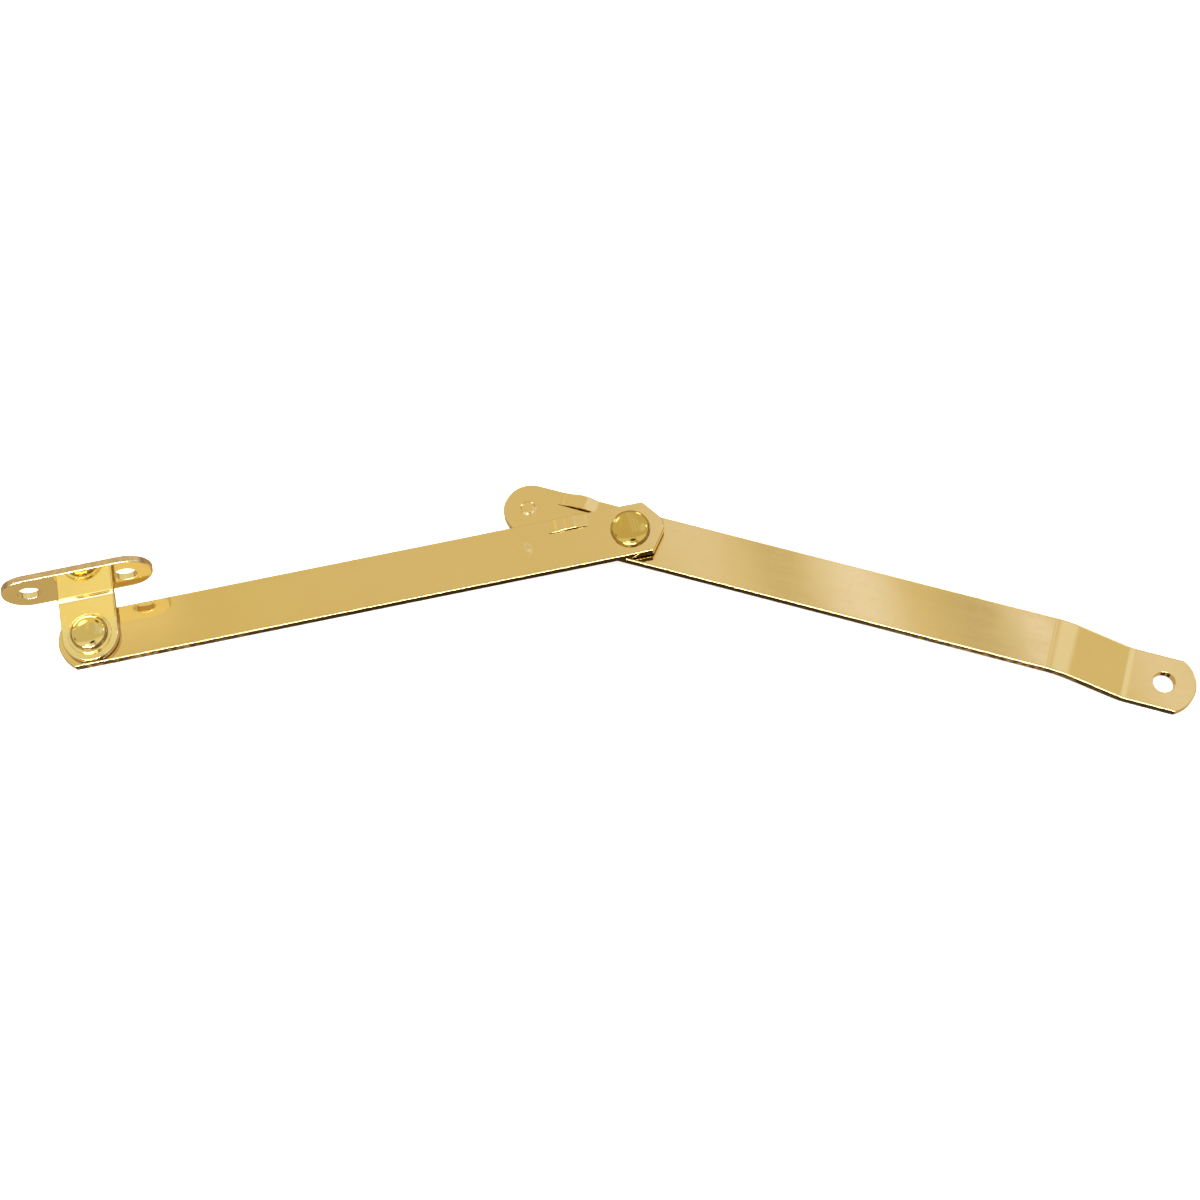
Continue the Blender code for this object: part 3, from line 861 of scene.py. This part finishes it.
# Folds overhead, behind the stay: (lean, half width, amount, shade). A direction's lean is
# its x over its z, and its reach back is its y over its z.
FOLDS = (
    (-0.170, 0.120, 1.00, WARM_FOLD),
    (0.120, 0.050, 0.45, BRIGHT_FOLD),
    (0.163, 0.025, 0.60, DARK_FOLD),
    (0.203, 0.034, 1.00, BRIGHT_FOLD),
    (0.262, 0.026, 1.00, DARK_FOLD),
    (0.294, 0.022, 1.00, BRIGHT_FOLD),
    (0.355, 0.035, 0.65, BRIGHT_FOLD),
)
LEAST_Z = 0.05

# Round patches: (direction, angle to where it starts to fade, angle to its edge, shade).
PATCHES = (
    ((0.47, 0.87, 0.08), 3.0, 7.0, BRIGHT_WINDOW),
    ((0.817, 0.289, 0.49), 2.5, 5.0, COOL_SPOT),
    ((-0.32, -0.71, 0.63), 7.0, 10.5, FRONT_WINDOW),
    ((-0.50, 0.85, 0.12), 3.0, 7.0, WINDOW),
    ((-0.35, 0.81, 0.47), 3.0, 10.5, COOL_WINDOW),
    ((0.06, -0.42, -0.90), 9.0, 13.0, LENS),
    ((-0.30, -0.28, -0.91), 6.0, 10.0, LENS),
    ((0.56, 0.26, 0.78), 8.0, 15.0, SIDE_CARD),
    ((0.06, -0.46, 0.885), 8.0, 12.0, LENS),
    ((0.26, -0.74, 0.62), 4.0, 9.0, FLAG),
    ((-0.84, 0.07, 0.50), 3.0, 8.0, FLAG),
)

# Soft edges, as (where a share is 0, where it is 1), along a part of the direction.
FOLDS_Y = (0.1, 0.25)
PANEL_LEFT_LEAN, PANEL_RIGHT_LEAN = (-0.260, -0.240), (-0.164, -0.186)
PANEL_BACK, PANEL_Z = (0.489, 0.499), (0.5, 0.7)
FRONT_TOP_Y = (-0.10, -0.32)
BACK_HORIZON_Y = (0.3, 0.6)
HORIZON_Z, LOWER_Z = (0.24, 0.06), (-0.06, -0.22)
SOFTBOX_LOW_Z, SOFTBOX_HIGH_Z = (0.06, 0.09), (0.21, 0.17)
SOFTBOX_LEFT_X, SOFTBOX_RIGHT_X = (-0.72, -0.56), (0.24, 0.10)
SOFTBOX_Y = (-0.30, -0.45)


def overhead(n, x, y, z):
    """The tent above the stay: warm paper with folds, and a brighter panel at the upper left."""
    height = n.math("MAXIMUM", z, LEAST_Z)
    lean = n.math("DIVIDE", x, height)
    reach_back = n.math("DIVIDE", y, height)
    behind = n.band(y, *FOLDS_Y)
    colour = OVERHEAD
    for centre, half_width, amount, shade in FOLDS:
        away = n.math("ABSOLUTE", n.math("SUBTRACT", lean, centre))
        colour = n.mix(n.product(n.band(away, half_width, 0.0), amount, behind), colour, shade)
    across = n.product(n.band(lean, *PANEL_LEFT_LEAN), n.band(lean, *PANEL_RIGHT_LEAN))
    panel = n.product(across, n.band(reach_back, *PANEL_BACK), n.band(z, *PANEL_Z))
    return n.mix(panel, colour, LEFT_PANEL)


def tent(n, direction):
    """What the metal mirrors in a direction: the tent, a softbox, windows, cards and the lens."""
    x, y, z = n.add("ShaderNodeSeparateXYZ", {"Vector": direction}).outputs[:]
    colour = n.mix(n.band(y, *FRONT_TOP_Y), overhead(n, x, y, z), FRONT_TOP)
    horizon = n.mix(n.band(y, *BACK_HORIZON_Y), HORIZON, BACK_HORIZON)
    colour = n.mix(n.band(z, *HORIZON_Z), colour, horizon)
    colour = n.mix(n.band(z, *LOWER_Z), colour, LOWER)
    upright = n.product(n.band(z, *SOFTBOX_LOW_Z), n.band(z, *SOFTBOX_HIGH_Z))
    across = n.product(n.band(x, *SOFTBOX_LEFT_X), n.band(x, *SOFTBOX_RIGHT_X))
    colour = n.mix(n.product(upright, across, n.band(y, *SOFTBOX_Y)), colour, SOFTBOX)
    for towards, inner, outer, shade in PATCHES:
        aim = n.add("ShaderNodeVectorMath", {0: direction, 1: Vector(towards).normalized()})
        aim.operation = "DOT_PRODUCT"
        edge = math.cos(math.radians(outer)), math.cos(math.radians(inner))
        colour = n.mix(n.band(aim.outputs["Value"], *edge), colour, shade)
    return colour


def build_world():
    """A neutral white room, and the tent that the metal mirrors."""
    world = bpy.data.worlds.new("studio_tent")
    bpy.context.scene.world = world
    world.use_nodes = True
    n = Nodes(world.node_tree)
    background = world.node_tree.nodes["Background"]
    direction = n.add("ShaderNodeTexCoord").outputs["Generated"]
    mirrored_ray = n.add("ShaderNodeLightPath").outputs["Is Glossy Ray"]
    n.put(n.mix(mirrored_ray, ROOM, tent(n, direction)), background.inputs["Color"])
    background.inputs["Strength"].default_value = 1.0


LAMP_SIZE = (1.2, 0.9)
LAMP_POWER = 8.0
LAMP_AT, LAMP_AIM = (-0.5, 0.5, 1.1), (0.12, -0.02, 0.0)


def build_light():
    """One broad soft lamp from the upper left, for a gentle shadow."""
    data = bpy.data.lights.new("soft_lamp", "AREA")
    data.shape = "RECTANGLE"
    data.size, data.size_y = LAMP_SIZE
    data.energy = LAMP_POWER
    lamp = bpy.data.objects.new("soft_lamp", data)
    bpy.context.scene.collection.objects.link(lamp)
    lamp.location = LAMP_AT
    lamp.rotation_euler = (Vector(LAMP_AIM) - lamp.location).to_track_quat("-Z", "Y").to_euler()
    lamp.visible_glossy = False


CAMERA_AIM = (116.4 * MM, -27.1 * MM, -10.1 * MM)
CAMERA_DISTANCE = 455.1 * MM
CAMERA_AZIMUTH_DEG, CAMERA_ELEVATION_DEG, CAMERA_ROLL_DEG = 7.553, 65.13, 4.632
CAMERA_LENS, CAMERA_SENSOR = 59.08, 36.0
CAMERA_NEAR, CAMERA_FAR = 0.01, 20.0


def build_camera():
    """Above the stay and a little below its line, looking up along +Y."""
    azimuth = math.radians(CAMERA_AZIMUTH_DEG)
    elevation = math.radians(CAMERA_ELEVATION_DEG)
    level = math.cos(elevation)
    back = Vector((-math.sin(azimuth) * level, -math.cos(azimuth) * level, math.sin(elevation)))
    data = bpy.data.cameras.new("camera")
    data.lens = CAMERA_LENS
    data.sensor_width = CAMERA_SENSOR
    data.clip_start = CAMERA_NEAR
    data.clip_end = CAMERA_FAR
    camera = bpy.data.objects.new("camera", data)
    bpy.context.scene.collection.objects.link(camera)
    facing = back.to_track_quat("Z", "Y").to_matrix().to_4x4()
    roll = Matrix.Rotation(-math.radians(CAMERA_ROLL_DEG), 4, "Z")
    camera.matrix_world = Matrix.Translation(Vector(CAMERA_AIM) + back * CAMERA_DISTANCE) @ facing @ roll
    bpy.context.scene.camera = camera


build_pieces()
build_floor()
build_world()
build_light()
build_camera()
bpy.context.scene.view_settings.view_transform = "Standard"
